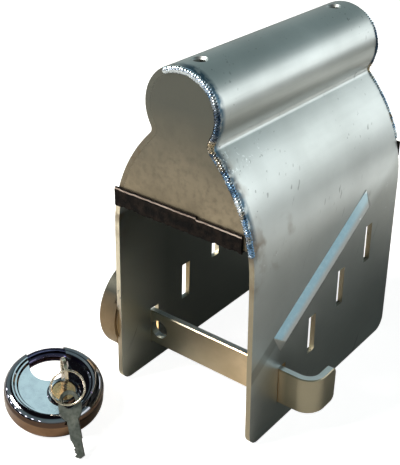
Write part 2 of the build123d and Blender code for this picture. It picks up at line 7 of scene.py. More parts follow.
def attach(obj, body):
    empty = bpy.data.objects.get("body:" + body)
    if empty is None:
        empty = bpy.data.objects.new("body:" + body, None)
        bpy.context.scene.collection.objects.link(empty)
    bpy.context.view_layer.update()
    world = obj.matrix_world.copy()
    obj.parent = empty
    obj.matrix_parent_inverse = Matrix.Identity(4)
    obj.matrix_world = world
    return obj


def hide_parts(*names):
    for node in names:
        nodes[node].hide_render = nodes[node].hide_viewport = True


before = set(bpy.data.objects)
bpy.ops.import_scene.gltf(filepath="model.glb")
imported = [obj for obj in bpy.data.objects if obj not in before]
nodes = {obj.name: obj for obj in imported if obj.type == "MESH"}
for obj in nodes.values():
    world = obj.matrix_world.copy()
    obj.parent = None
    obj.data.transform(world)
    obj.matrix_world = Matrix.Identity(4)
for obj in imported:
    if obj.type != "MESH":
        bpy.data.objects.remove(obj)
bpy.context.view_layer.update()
print("frame loaded:", len(nodes), "nodes")


def hexToLinear(code):
    # an sRGB hex colour as linear red, green, blue and alpha
    channels = [int(code[i:i + 2], 16) / 255 for i in (0, 2, 4)]
    return tuple(c / 12.92 if c <= 0.04045 else ((c + 0.055) / 1.055) ** 2.4 for c in channels) + (1.0,)


def addNode(tree, kind, settings=None, inputs=None, out=0):
    # inputs holds values or sockets by the input's name or number, and the asked output comes back
    node = tree.nodes.new(kind)
    for name, value in (settings or {}).items():
        setattr(node, name, value)
    for name, value in (inputs or {}).items():
        socket = node.inputs[name]
        if isinstance(value, bpy.types.NodeSocket):
            tree.links.new(value, socket)
        else:
            socket.default_value = value
    return node.outputs[out] if node.outputs else node


def startMaterial(name):
    material = bpy.data.materials.new(name)
    material.use_nodes = True
    tree = material.node_tree
    tree.nodes.clear()
    return material, tree, addNode(tree, "ShaderNodeTexCoord", out="Object")


def softPattern(tree, place, sizeMm, low=0.35, high=0.65, detail=3.0, stretch=(1, 1, 1), turn=(0, 0, 0)):
    # 0 to 1 cloudy pattern; sizeMm is how far apart its blotches are
    scale = tuple(s * 1000 / sizeMm for s in stretch)
    spot = addNode(tree, "ShaderNodeMapping", None, {"Vector": place, "Rotation": turn})
    spot = addNode(tree, "ShaderNodeMapping", None, {"Vector": spot, "Scale": scale})
    cloud = addNode(tree, "ShaderNodeTexNoise", None, {"Vector": spot, "Scale": 1.0, "Detail": detail})
    return addNode(tree, "ShaderNodeMapRange", None, {"Value": cloud, "From Min": low, "From Max": high})


def layOver(tree, colour, code, *masks):
    # lays a finish of the given hex colour over what is there, where all masks agree; a mask is a number, a
    # socket, or a socket with the value at which it begins and the value at which it is full
    share = 1.0
    for mask in masks:
        if isinstance(mask, tuple):
            value, begin, full = mask
            mask = addNode(tree, "ShaderNodeMapRange", None, {"Value": value, "From Min": begin, "From Max": full})
        share = addNode(tree, "ShaderNodeMath", {"operation": "MULTIPLY"}, {0: share, 1: mask})
    colour = hexToLinear(colour) if isinstance(colour, str) else colour
    return addNode(tree, "ShaderNodeMix", {"data_type": "RGBA"}, {0: share, 6: colour, 7: hexToLinear(code)}, 2)


# where the photograph was taken from: the lens in mm, then the place in metres and the camera's own axes
cameraView = {
    "lens": 81.44,
    "place": (0.3377, -0.5160, 0.4523),
    "right": (0.7870, 0.6168, 0.0106),
    "up": (-0.3069, 0.3766, 0.8740),
    "back": (0.5351, -0.6912, 0.4857),
    "shift": (0.00175, 0.00525),
}


def placeCamera(view):
    data = bpy.data.cameras.new("photoCamera")
    data.sensor_fit = "HORIZONTAL"
    data.sensor_width = 36.0
    data.lens = view["lens"]
    data.shift_x, data.shift_y = view["shift"]
    data.clip_end = 80.0
    camera = bpy.data.objects.new("photoCamera", data)
    bpy.context.collection.objects.link(camera)
    turn = Matrix((view["right"], view["up"], view["back"])).transposed()
    camera.matrix_world = Matrix.Translation(view["place"]) @ turn.to_4x4()
    bpy.context.scene.camera = camera


placeCamera(cameraView)
print("camera placed")

# a pale paper floor that darkens well outside the picture, a plain sky that is dark straight up and low at the
# front left, and one key lamp. The other lamps are seen only in the metal: a soft box and a lit patch of paper
# behind the housing's right, a card over the padlock, and a row of small far windows in front
studio = {
    "floorSize": 40.0,
    "floorColour": "d6d6d4",
    "floorFar": "7a7a78",
    "floorFades": (1.0, 1.9),  # metres from the middle
    # what the floor adds for each kind of ray, where 1 is white
    "floorLift": {"Is Camera Ray": 0.92, "Is Glossy Ray": 0.03, "Is Transmission Ray": 0.03},
    "skyLow": "a9aca8",
    # colour, and the height on a unit sphere where it begins and where it is full
    "skyBands": [("8d9a9b", 0.03, 0.20), ("7c9193", 0.22, 0.60), ("17151a", 0.74, 0.86)],
    "darkWall": "1b1c2c",
    "darkBearing": (-0.60, -0.80, 0.0),
    "darkCosines": (0.50, 0.80),  # of the angle from the dark bearing
    "darkHeights": (0.34, 0.20),
    "skyOnFloor": 0.45,  # the sky's strength on what is matt: the floor and the rubber
    "lamps": [
        # name, place, aim, size, power, colour, lights the floor
        ("frontLeftKey", (-1.5, -1.7, 2.3), (0.0, 0.0, 0.20), (1.1, 1.1), 125.0, "fffaf2", True),
        ("rearRightSoftbox", (0.60, 0.52, 0.41), (0.0, 0.0, 0.20), (1.7, 0.38), 2.85, "fbffff", False),
        ("rearRightPaper", (0.72, 0.66, 0.002), (0.72, 0.66, 1.0), (1.1, 0.50), 1.30, "fbffff", False),
        ("overPadlockCard", (-0.263, -0.037, 0.527), (-0.08, -0.155, 0.03), (0.15, 0.20), 0.19, "c4e6e6", False),
    ],
    "farWindows": {"count": 8, "aim": (-0.0795, -0.1555, 0.03), "distance": 1.1, "height": 0.36,
                   "fromDegrees": 200, "stepDegrees": 13, "size": (0.06, 0.10), "power": 0.30, "colour": "eef0ff"},
}


def makeWorld(values):
    world = bpy.data.worlds.new("paleRoom")
    bpy.context.scene.world = world
    world.use_nodes = True
    tree = world.node_tree
    tree.nodes.clear()
    direction = addNode(tree, "ShaderNodeTexCoord", out="Generated")
    height = addNode(tree, "ShaderNodeSeparateXYZ", None, {0: direction}, "Z")
    sky = values["skyLow"]
    for colour, begin, full in values["skyBands"]:
        sky = layOver(tree, sky, colour, (height, begin, full))
    towardsFront = addNode(tree, "ShaderNodeVectorMath", {"operation": "DOT_PRODUCT"},
                           {0: direction, 1: values["darkBearing"]}, "Value")
    sky = layOver(tree, sky, values["darkWall"], (towardsFront, *values["darkCosines"]),
                  (height, *values["darkHeights"]))
    seen = layOver(tree, sky, "ffffff", addNode(tree, "ShaderNodeLightPath", out="Is Camera Ray"))
    onFloor = addNode(tree, "ShaderNodeLightPath", out="Is Diffuse Ray")
    strength = addNode(tree, "ShaderNodeMapRange", None,
                       {"Value": onFloor, "To Min": 1.0, "To Max": values["skyOnFloor"]})
    background = addNode(tree, "ShaderNodeBackground", None, {"Color": seen, "Strength": strength})
    addNode(tree, "ShaderNodeOutputWorld", None, {"Surface": background})


def makeFloor(values):
    half = values["floorSize"] / 2
    mesh = bpy.data.meshes.new("paleFloor")
    corners = [(-half, -half, 0), (half, -half, 0), (half, half, 0), (-half, half, 0)]
    mesh.from_pydata(corners, [], [(0, 1, 2, 3)])
    floor = bpy.data.objects.new("paleFloor", mesh)
    bpy.context.collection.objects.link(floor)
    material, tree, place = startMaterial("whitePaper")
    reach = addNode(tree, "ShaderNodeVectorMath", {"operation": "LENGTH"}, {0: place}, "Value")
    colour = layOver(tree, values["floorColour"], values["floorFar"], (reach, *values["floorFades"]))
    paper = addNode(tree, "ShaderNodeBsdfDiffuse", None, {"Color": colour})
    lift = 0.0
    for way, strength in values["floorLift"].items():
        ray = addNode(tree, "ShaderNodeLightPath", out=way)
        lift = addNode(tree, "ShaderNodeMath", {"operation": "MULTIPLY_ADD"}, {0: ray, 1: strength, 2: lift})
    glow = addNode(tree, "ShaderNodeEmission", None, {"Color": (1, 1, 1, 1), "Strength": lift})
    both = addNode(tree, "ShaderNodeAddShader", None, {0: paper, 1: glow})
    addNode(tree, "ShaderNodeOutputMaterial", None, {"Surface": both})
    mesh.materials.append(material)


def windowLamps(row):
    # windows on an arc in front of what they aim at
    lamps = []
    for i in range(row["count"]):
        bearing = math.radians(row["fromDegrees"] + i * row["stepDegrees"])
        place = (row["aim"][0] + row["distance"] * math.cos(bearing),
                 row["aim"][1] + row["distance"] * math.sin(bearing), row["height"])
        lamps.append((f"farWindow{i}", place, row["aim"], row["size"], row["power"], row["colour"], False))
    return lamps


def hangLamps(lamps):
    for name, place, aim, size, power, colour, lightsFloor in lamps:
        data = bpy.data.lights.new(name, "AREA")
        data.shape = "RECTANGLE"
        data.size, data.size_y = size
        data.energy = power
        data.color = hexToLinear(colour)[:3]
        lamp = bpy.data.objects.new(name, data)
        bpy.context.collection.objects.link(lamp)
        lamp.location = place
        towards = Vector(aim) - Vector(place)
        lamp.rotation_euler = towards.to_track_quat("-Z", "Y").to_euler()
        lamp.visible_diffuse = lightsFloor
        lamp.visible_camera = False


makeWorld(studio)
makeFloor(studio)
hangLamps(studio["lamps"] + windowLamps(studio["farWindows"]))
bpy.context.scene.view_settings.view_transform = "Standard"
print("studio ready")

# the housing's keyhole outline in metres, each arc as its centre's x and z and its radius, and what the sheet's
# finish has to know of the panels and the rib
keyhole = {
    "halfDepth": 0.100,
    "shoulder": (-0.056683, 0.138056, 0.118),
    "neck": (0.0295, 0.225111, 0.0045),
    "head": (0.0, 0.243, 0.030),
    "panelLean": 0.0157,
    "panelHalfWidth": 0.0635,
    "sheet": 0.004,
    "ribSlope": 0.577,
}


def arcPoints(centre, radius, start, end, step):
    count = max(2, int(abs(end - start) * radius / step))
    angles = [start + (end - start) * i / count for i in range(count + 1)]
    return [(centre[0] + radius * math.cos(a), centre[1] + radius * math.sin(a)) for a in angles]


def keyholeSide(inset, floor, pastCrown, step=0.001):
    # right-hand side of the outline from height floor over the crown, as x and z
    sx, sz, sr = keyhole["shoulder"]
    nx, nz, nr = keyhole["neck"]
    hx, hz, hr = keyhole["head"]
    shoulderToNeck = math.atan2(nz - sz, nx - sx)
    headToNeck = math.atan2(nz - hz, nx - hx)
    start = math.asin((floor - sz) / (sr - inset))
    points = arcPoints((sx, sz), sr - inset, start, shoulderToNeck, step)
    points += arcPoints((nx, nz), nr + inset, shoulderToNeck + math.pi, headToNeck + math.pi, step / 2)[1:]
    points += arcPoints((hx, hz), hr - inset, headToNeck, math.pi / 2 + pastCrown, step)[1:]
    return points


# where a mark lies: what it reads, the value where it begins and the value where it is full, in metres
sheetInside = [("depth", 0.0005, -0.0005), ("z", 0.158, 0.150)]
pressedRib = [("x", 0.056, 0.058), ("endways", 0.70, 0.60), ("ribLine", 0.096, 0.098), ("ribLine", 0.126, 0.124),
              ("y", 0.056, 0.054), ("z", 0.150, 0.148)]
upperFlank = ("upwards", 0.10, 0.22)
shearedEdge = ("endways", 0.80, 0.90)

# bright zinc plate over cold rolled sheet steel, hand worked: a soft silver sheen, faint rolling lines, painted
# shade low down, painted light and reflections in places, straw and brown stains where it was welded, and a few
# scratches
zincSheet = {
    "bright": "d3d7d5", "shade": "c6cac8", "mottle": 0.25, "roughness": 0.34, "rollingLineMm": 1.3,
    "blotchMm": 55.0,
    "dusty": "7d7d75", "dulled": "84877f", "inside": "74766f", "insideFront": "b3b2a6",
    "ribBlue": "839ca6", "ribWorn": "a9b9bd", "ribCrest": "958e87",
    "edge": "b3a891", "edgeLeft": "fbf0d6", "flush": "948975", "flushHigh": "6f7068",
    "heatBlue": "4d6676", "stain": "77614a", "scratch": "6a6f6c", "scuff": "eef2f2", "spatter": "2d3030",
    "patterns": {
        # how far apart its blotches are in mm, its ends and detail, then its stretch and turn
        "ribRubs": (3.0, 0.50, 0.66, 4.0),
        "heatClouds": (6.0, 0.30, 0.50, 3.0),
        "nearStains": (11.0, 0.46, 0.66, 4.0),
        "farStains": (17.0, 0.53, 0.64, 3.0),
        "scratches": (2.4, 0.70, 0.73, 1.0, (1, 0.9, 0.04), (0.5, 0.0, 0.0)),
        "scratchedPatches": (60.0, 0.50, 0.60, 1.0),
        "scuffs": (2.0, 0.67, 0.73, 2.0, (1, 0.35, 0.5), (0.3, 0.0, 0.0)),
        "scuffedPatches": (35.0, 0.53, 0.61, 1.0),
        "nicks": (1.8, 0.58, 0.64, 2.0),
        "nickedPatches": (9.0, 0.50, 0.58, 1.0),
        "spatterPatches": (6.0, 0.55, 0.60, 1.0),
    },
    # each mark's colour, how much of it shows where it is full, and where it lies
    "marks": [
        # painted shade: the lower panel is darker towards the bottom, most of all under the pressed rib
        ("dusty", 0.55, ("z", 0.150, 0.040)),
        ("dusty", 0.28, ("ribLine", 0.109, 0.098), ("x", 0.050, 0.058)),
        # painted shade: the fold under the head and the middle of the shoulder are darker
        ("dulled", 0.6, ("z", 0.252, 0.245), ("z", 0.228, 0.234), ("across", 0.020, 0.026)),
        ("dulled", 0.17, ("z", 0.236, 0.226), ("z", 0.165, 0.185), ("y", -0.060, -0.020), ("y", 0.075, 0.035)),
        # the inside of the folded sheet: painted shade, with painted light near the front
        ("inside", 1.0, *sheetInside),
        ("insideFront", 0.75, *sheetInside, ("y", -0.045, -0.098), ("z", 0.150, 0.110)),
        # the pressed rib: painted sky reflection and crest highlight on its upper flank, painted shade on its
        # lower flank
        ("ribBlue", 1.0, *pressedRib, upperFlank),
        ("ribWorn", 1.0, *pressedRib, upperFlank, ("y", 0.020, 0.050)),
        ("ribWorn", 0.2, *pressedRib, upperFlank, "ribRubs"),
        ("ribCrest", 0.8, *pressedRib, upperFlank, ("ribLine", 0.1200, 0.1172)),
        ("dusty", 0.6, *pressedRib, ("upwards", -0.02, -0.10)),
        ("dusty", 0.5, *pressedRib, ("upwards", 0.10, 0.04), ("ribLine", 0.1125, 0.1150)),
        # sheared edges and slot walls; above the trim the edge is ground flush with the end plate and looks alike
        ("edge", 1.0, shearedEdge),
        # painted light on the left panel's front edge
        ("edgeLeft", 1.0, shearedEdge, ("x", -0.02, -0.04)),
        # above the trim: the end plate's painted brown reflection, then painted shade towards the head
        ("flush", 1.0, shearedEdge, ("z", 0.158, 0.162)),
        ("flushHigh", 1.0, shearedEdge, ("z", 0.175, 0.245)),
        # heat beside the front weld: a blue-grey rim, brown stains, and a blot a little way behind it
        ("heatBlue", 1.0, ("y", -0.0925, -0.0965), ("z", 0.150, 0.165), ("x", -0.010, 0.005), "heatClouds"),
        ("stain", 0.6, ("y", -0.084, -0.099), ("z", 0.118, 0.146), ("z", 0.236, 0.215), "nearStains"),
        ("stain", 0.6, ("y", -0.035, -0.075), ("z", 0.135, 0.150), ("z", 0.178, 0.163), "farStains"),
        # thin scratches, pale scuffs and nicks, drawn about three times as wide as real ones so that they show
        ("scratch", 0.5, "scratches", "scratchedPatches"),
        ("scuff", 0.6, "scuffs", "scuffedPatches", ("depth", 0.0, 0.001), ("z", 0.110, 0.150)),
        ("scuff", 1.0, "nicks", "nickedPatches", ("y", -0.052, -0.070), ("z", 0.206, 0.212), ("z", 0.224, 0.218),
         ("x", 0.0, 0.01)),
        # weld spatter: small dark specks near the front weld
        ("spatter", 0.85, ("speck", 0.16, 0.08), "spatterPatches", ("y", -0.070, -0.096), ("z", 0.150, 0.190)),
    ],
}
# the same plating on the end plates: a painted brown reflection, and painted shade towards the head
zincPlate = {
    "bright": "ab9d85", "shade": "857b68", "high": "6a6b63", "mottle": 0.9, "roughness": 0.40,
    "rollingLineMm": 1.1, "blotchMm": 38.0, "marks": [("high", 1.0, ("z", 0.175, 0.245))],
}
# on the flat bar: painted warm reflection, painted shade inside the housing and on the hook, painted pale top
barZinc = {
    "bright": "ecd3ae", "shade": "d6bd97", "left": "8b8d81", "hook": "aaa18a", "top": "eaf6fb", "mottle": 0.4,
    "roughness": 0.33, "rollingLineMm": 1.0, "blotchMm": 30.0,
    "marks": [("left", 1.0, ("x", 0.040, -0.055)), ("hook", 1.0, ("x", 0.062, 0.070)),
              ("top", 1.0, ("upwards", 0.75, 0.95))],
}
# and on the drawn tube of the guard ring, with painted shade along its top
ringZinc = {
    "bright": "b79f7c", "shade": "a08a6a", "ringTop": "33332e", "mottle": 0.4, "roughness": 0.42,
    "rollingLineMm": 1.0, "blotchMm": 24.0, "marks": [("ringTop", 1.0, ("z", 0.056, 0.078))],
}
# what all of them share: rolling lines, drawn coarser than real ones so that they show, mottles, clouds in the
# sheen, a slight waviness, and how far apart specks can lie
zincSurface = {
    "lines": (0.3, 0.7, 2.0, (1, 0.03, 1)), "lineRoughness": 0.05, "lineHeight": 0.00002, "lineStrength": 0.30,
    "mottles": (5.0, 0.45, 0.75, 5.0), "clouds": (22.0, 0.3, 0.7, 5.0), "cloudRoughness": 0.04,
    "waves": (40.0, 0.0, 1.0, 1.0), "waveHeight": 0.0006, "waveStrength": 0.04, "speckMm": 3.846,
}


def readPlace(tree, place):
    # what can say where a mark lies: depth is outwards from the middle of the sheet, ribLine climbs across the
    # pressed rib, endways and upwards say which way the face looks, and speck is how far off the next speck is
    x, y, z = [addNode(tree, "ShaderNodeSeparateXYZ", None, {0: place}, axis) for axis in "XYZ"]
    normal = addNode(tree, "ShaderNodeNewGeometry", out="Normal")
    normalY, normalZ = [addNode(tree, "ShaderNodeSeparateXYZ", None, {0: normal}, axis) for axis in "YZ"]
    across, endways = [addNode(tree, "ShaderNodeMath", {"operation": "ABSOLUTE"}, {0: v}) for v in (x, normalY)]
    ribLine = addNode(tree, "ShaderNodeMath", {"operation": "MULTIPLY_ADD"}, {0: y, 1: -keyhole["ribSlope"], 2: z})
    sheetMiddle = keyhole["panelHalfWidth"] - keyhole["sheet"] / 2
    depth = addNode(tree, "ShaderNodeMath", {"operation": "MULTIPLY_ADD"},
                    {0: z, 1: keyhole["panelLean"], 2: across})
    depth = addNode(tree, "ShaderNodeMath", {"operation": "SUBTRACT"}, {0: depth, 1: sheetMiddle})
    scale = 1000 / zincSurface["speckMm"]
    cells = addNode(tree, "ShaderNodeMapping", None, {"Vector": place, "Scale": (scale, scale, scale)})
    speck = addNode(tree, "ShaderNodeTexVoronoi", None, {"Vector": cells, "Scale": 1.0}, "Distance")
    return {"x": x, "y": y, "z": z, "across": across, "endways": endways, "upwards": normalZ, "ribLine": ribLine,
            "depth": depth, "speck": speck}


def layMarks(tree, place, colour, values):
    # lays a finish's marks over its colour, one after the other; a mark's limit is a pattern's name or a reading's
    # name with its two values
    readings = readPlace(tree, place)
    for finish, share, *limits in values["marks"]:
        masks = [softPattern(tree, place, *values["patterns"][limit]) if isinstance(limit, str)
                 else (readings[limit[0]], *limit[1:]) for limit in limits]
        colour = layOver(tree, colour, values[finish], *masks, share)
    return colour


def makeZincSheet(name, values, surface=zincSurface):
    material, tree, place = startMaterial(name)
    lines = softPattern(tree, place, values["rollingLineMm"], *surface["lines"])
    blotches = softPattern(tree, place, values["blotchMm"])
    mottles = softPattern(tree, place, *surface["mottles"])
    colour = layOver(tree, values["bright"], values["shade"], blotches)
    colour = layOver(tree, colour, values["shade"], mottles, values["mottle"])
    colour = layMarks(tree, place, colour, values)
    clouds = softPattern(tree, place, *surface["clouds"])
    rough = addNode(tree, "ShaderNodeMath", {"operation": "MULTIPLY_ADD"},
                    {0: clouds, 1: surface["cloudRoughness"], 2: values["roughness"]})
    rough = addNode(tree, "ShaderNodeMath", {"operation": "MULTIPLY_ADD"},
                    {0: lines, 1: surface["lineRoughness"], 2: rough})
    waves = softPattern(tree, place, *surface["waves"])
    normal = addNode(tree, "ShaderNodeBump", None, {"Height": lines, "Distance": surface["lineHeight"],
                                                    "Strength": surface["lineStrength"]})
    normal = addNode(tree, "ShaderNodeBump", None, {"Height": waves, "Distance": surface["waveHeight"],
                                                    "Strength": surface["waveStrength"], "Normal": normal})
    shader = addNode(tree, "ShaderNodeBsdfPrincipled", None,
                     {"Base Color": colour, "Metallic": 1.0, "Roughness": rough, "Normal": normal})
    addNode(tree, "ShaderNodeOutputMaterial", None, {"Surface": shader})
    return material


plainMetals = {
    # polished stainless steel pressing: near mirror, with faint finger smears and a painted brown reflection on
    # its side wall
    "polishedStainless": {
        "colour": "a9a8ae", "dull": "8d8c96", "wall": "5d4a3e", "roughness": 0.05, "grainMm": 9.0, "smear": 0.05,
        "marks": [("wall", 1.0, ("upwards", 0.50, 0.35), ("upwards", -0.40, -0.25))]},
    # the same steel on the padlock's back shell, painted brown as a reflection of a brown floor
    "brownReflectingStainless": {"colour": "8c6c50", "dull": "5f4430", "roughness": 0.10, "grainMm": 9.0, "smear": 0.08},
    # hardened shackle, polished, with a faint violet temper colour
    "temperedShackle": {"colour": "5b5570", "dull": "3a3548", "roughness": 0.08, "grainMm": 6.0, "smear": 0.05},
    # turned and milled free-cutting steel: satin grey
    "machinedSteel": {"colour": "8d8d8c", "dull": "6d6c69", "roughness": 0.34, "grainMm": 1.2, "smear": 0.10},
    # turned brass, a little dull
    "turnedBrass": {"colour": "e0b78a", "dull": "8f6a44", "roughness": 0.26, "grainMm": 1.0, "smear": 0.12},
    # nickel plate over a stamped key blank, tinted warm as a painted brass-coloured reflection
    "nickelPlatedKey": {"colour": "e6dac4", "dull": "a8926e", "roughness": 0.22, "grainMm": 3.0, "smear": 0.10},
    # the same plate, dull and darker from use
    "darkNickelKey": {"colour": "6f7168", "dull": "3d3f38", "roughness": 0.30, "grainMm": 2.5, "smear": 0.10},
}
# what the plain metals share: dull clouds of each one's grain size, and finger smears that roughen it
metalSurface = {"clouds": (0.42, 0.72, 4.0), "cloudShare": 0.6, "smears": (7.0, 0.4, 0.7, 5.0)}


def makePlainMetal(name, values, surface=metalSurface):
    material, tree, place = startMaterial(name)
    clouds = softPattern(tree, place, values["grainMm"], *surface["clouds"])
    colour = layOver(tree, values["colour"], values["dull"], clouds, surface["cloudShare"])
    if "marks" in values:
        colour = layMarks(tree, place, colour, values)
    smears = softPattern(tree, place, *surface["smears"])
    rough = addNode(tree, "ShaderNodeMath", {"operation": "MULTIPLY_ADD"},
                    {0: smears, 1: values["smear"], 2: values["roughness"]})
    shader = addNode(tree, "ShaderNodeBsdfPrincipled", None,
                     {"Base Color": colour, "Metallic": 1.0, "Roughness": rough})
    addNode(tree, "ShaderNodeOutputMaterial", None, {"Surface": shader})
    return material


# extruded rubber edge trim, cut with a knife: dull brown-black, dusty, with a coarse torn grain
edgeTrimRubber = {"dark": "080605", "dust": "241c17", "grainMm": 0.9, "dustMm": 6.0, "roughness": 0.75,
                  "shine": 0.12}
# the same rubber, pale along its upper lip: a painted highlight
lipHighlightRubber = {"dark": "8c7b72", "dust": "c4b4a8", "grainMm": 0.9, "dustMm": 9.0, "roughness": 0.60,
                  "shine": 0.3}
# what both share: clouds of dust, and the grain, drawn coarse so that it shows
rubberSurface = {"dust": (0.4, 0.68, 5.0), "grain": (0.3, 0.7, 2.0), "grainHeight": 0.0003, "grainStrength": 0.7}


def makeTrimRubber(name, values, surface=rubberSurface):
    material, tree, place = startMaterial(name)
    dust = softPattern(tree, place, values["dustMm"], *surface["dust"])
    colour = layOver(tree, values["dark"], values["dust"], dust)
    grain = softPattern(tree, place, values["grainMm"], *surface["grain"])
    normal = addNode(tree, "ShaderNodeBump", None, {"Height": grain, "Distance": surface["grainHeight"],
                                                    "Strength": surface["grainStrength"]})
    shader = addNode(tree, "ShaderNodeBsdfPrincipled", None,
                     {"Base Color": colour, "Roughness": values["roughness"],
                      "Specular IOR Level": values["shine"], "Normal": normal})
    addNode(tree, "ShaderNodeOutputMaterial", None, {"Surface": shader})
    return material


# electric weld bead, zinc plated over: rippled, pale on the left and the crown, and blue with straw patches from
# the heat on the right
weldSteel = {
    "pale": "e4edf2", "blue": "7495b4", "deep": "1e2d3f", "straw": "a3906c", "roughness": 0.22,
    "patterns": {"bluePatches": (7.0, 0.44, 0.56, 3.0), "deepPatches": (5.0, 0.52, 0.62, 2.0),
                 "strawPatches": (9.0, 0.56, 0.66, 2.0)},
    "marks": [
        ("blue", 1.0, "bluePatches", ("z", 0.271, 0.258), ("x", -0.012, 0.004)),
        # painted shade makes it nearly all dark low on the tube's right side; elsewhere it is dark in patches
        ("deep", 0.85, ("z", 0.262, 0.250), ("z", 0.222, 0.230), ("x", 0.010, 0.020)),
        ("deep", 0.75, "deepPatches", ("z", 0.266, 0.255), ("x", -0.012, 0.004)),
        ("straw", 0.7, "strawPatches", ("z", 0.232, 0.222)),
        # a straw spot in the fold under the head
        ("straw", 0.8, ("z", 0.231, 0.228), ("z", 0.221, 0.2225), ("x", 0.010, 0.020)),
    ],
}


def makeWeldSteel(name, values):
    material, tree, place = startMaterial(name)
    colour = layMarks(tree, place, values["pale"], values)
    shader = addNode(tree, "ShaderNodeBsdfPrincipled", None,
                     {"Base Color": colour, "Metallic": 1.0, "Roughness": values["roughness"]})
    addNode(tree, "ShaderNodeOutputMaterial", None, {"Surface": shader})
    return material


finishes = {
    "shell": makeZincSheet("zincPlatedSheet", zincSheet),
    "plate": makeZincSheet("zincPlatedEndPlate", zincPlate),
    "bar": makeZincSheet("zincPlatedFlatBar", barZinc),
    "ring": makeZincSheet("zincPlatedTube", ringZinc),
    "rubber": makeTrimRubber("edgeTrimRubber", edgeTrimRubber),
    "lipHighlight": makeTrimRubber("paintedLipHighlight", lipHighlightRubber),
    "weld": makeWeldSteel("heatTintedWeld", weldSteel),
}
finishes.update({name: makePlainMetal(name, values) for name, values in plainMetals.items()})
finishOf = {
    "shell": "shell", "front_plate": "plate", "rear_plate": "plate", "front_bead": "weld", "rear_bead": "weld",
    "front_trim": "rubber", "rear_trim": "rubber", "crossbar": "bar", "guard_ring": "ring", "ring_weld": "ring",
    "lock_back": "brownReflectingStainless", "lock_front": "polishedStainless", "lock_core": "machinedSteel",
    "lock_cylinder": "turnedBrass", "keyway_collar": "polishedStainless", "cylinder_screw": "machinedSteel",
    "plug": "turnedBrass", "plug_wafers": "turnedBrass", "plug_pinion": "machinedSteel",
    "plug_clip": "machinedSteel", "key": "nickelPlatedKey", "shackle": "temperedShackle",
    "drive_sector": "machinedSteel", "drive_rivets": "machinedSteel", "split_ring": "nickelPlatedKey",
    "spare_key": "darkNickelKey",
}
for node, finish in finishOf.items():
    mesh = nodes[node].data
    mesh.materials.clear()
    mesh.materials.append(finishes[finish])
print("finishes on:", len(finishOf))

# weld beads laid as overlapping ripples along a path
weldBead = {"width": 0.0056, "proud": 0.0021, "pitch": 0.0019, "rippleLength": 0.0040, "lean": 0.45, "seed": 7,
            "unevenLow": (0.82, 0.84, 0.78), "unevenHigh": (1.12, 1.02, 1.04), "ballSegments": 12, "ballRings": 8}


def makePath(name, points):
    curve = bpy.data.curves.new(name, "CURVE")
    curve.dimensions = "3D"
    spline = curve.splines.new("POLY")
    spline.points.add(len(points) - 1)
    for point, place in zip(spline.points, points):
        point.co = (*place, 1.0)
    path = bpy.data.objects.new(name, curve)
    bpy.context.collection.objects.link(path)
    return path


def rippleTree(name, values):
    tree = bpy.data.node_groups.new(name, "GeometryNodeTree")
    face = tree.interface
    face.new_socket(name="Path", in_out="INPUT", socket_type="NodeSocketGeometry")
    for label in ("Width", "Proud", "Pitch", "Ripple Length", "Lean"):
        face.new_socket(name=label, in_out="INPUT", socket_type="NodeSocketFloat")
    face.new_socket(name="Outwards", in_out="INPUT", socket_type="NodeSocketVector")
    face.new_socket(name="Seed", in_out="INPUT", socket_type="NodeSocketInt")
    face.new_socket(name="Finish", in_out="INPUT", socket_type="NodeSocketMaterial")
    face.new_socket(name="Bead", in_out="OUTPUT", socket_type="NodeSocketGeometry")
    given = tree.nodes.new("NodeGroupInput").outputs
    # a ripple is a squashed ball: half its length along x, half the bead's width along y, and all that it stands
    # proud along z
    size = addNode(tree, "ShaderNodeCombineXYZ", None,
                   {0: given["Ripple Length"], 1: given["Width"], 2: given["Proud"]})
    size = addNode(tree, "ShaderNodeVectorMath", {"operation": "MULTIPLY"}, {0: size, 1: (0.5, 0.5, 1.0)})
    ball = addNode(tree, "GeometryNodeMeshUVSphere", None,
                   {"Segments": values["ballSegments"], "Rings": values["ballRings"], "Radius": 1.0})
    points = addNode(tree, "GeometryNodeResampleCurve", {"mode": "LENGTH"},
                     {"Curve": given["Path"], "Length": given["Pitch"]})
    tangent = addNode(tree, "GeometryNodeInputTangent")
    turn = addNode(tree, "FunctionNodeAlignRotationToVector", {"axis": "X"}, {"Vector": tangent})
    turn = addNode(tree, "FunctionNodeAlignRotationToVector", {"axis": "Z", "pivot_axis": "X"},
                   {"Rotation": turn, "Vector": given["Outwards"]})
    tip = addNode(tree, "ShaderNodeCombineXYZ", None, {1: given["Lean"]})
    turn = addNode(tree, "FunctionNodeRotateRotation", {"rotation_space": "LOCAL"},
                   {"Rotation": turn, "Rotate By": addNode(tree, "FunctionNodeEulerToRotation", None, {0: tip})})
    uneven = addNode(tree, "FunctionNodeRandomValue", {"data_type": "FLOAT_VECTOR"},
                     {0: values["unevenLow"], 1: values["unevenHigh"], "Seed": given["Seed"]})
    size = addNode(tree, "ShaderNodeVectorMath", {"operation": "MULTIPLY"}, {0: size, 1: uneven})
    laid = addNode(tree, "GeometryNodeInstanceOnPoints", None,
                   {"Points": points, "Instance": ball, "Rotation": turn, "Scale": size})
    real = addNode(tree, "GeometryNodeRealizeInstances", None, {0: laid})
    smooth = addNode(tree, "GeometryNodeSetShadeSmooth", None, {"Geometry": real, "Shade Smooth": True})
    done = addNode(tree, "GeometryNodeSetMaterial", None, {"Geometry": smooth, "Material": given["Finish"]})
    addNode(tree, "NodeGroupOutput", None, {"Bead": done})
    return tree


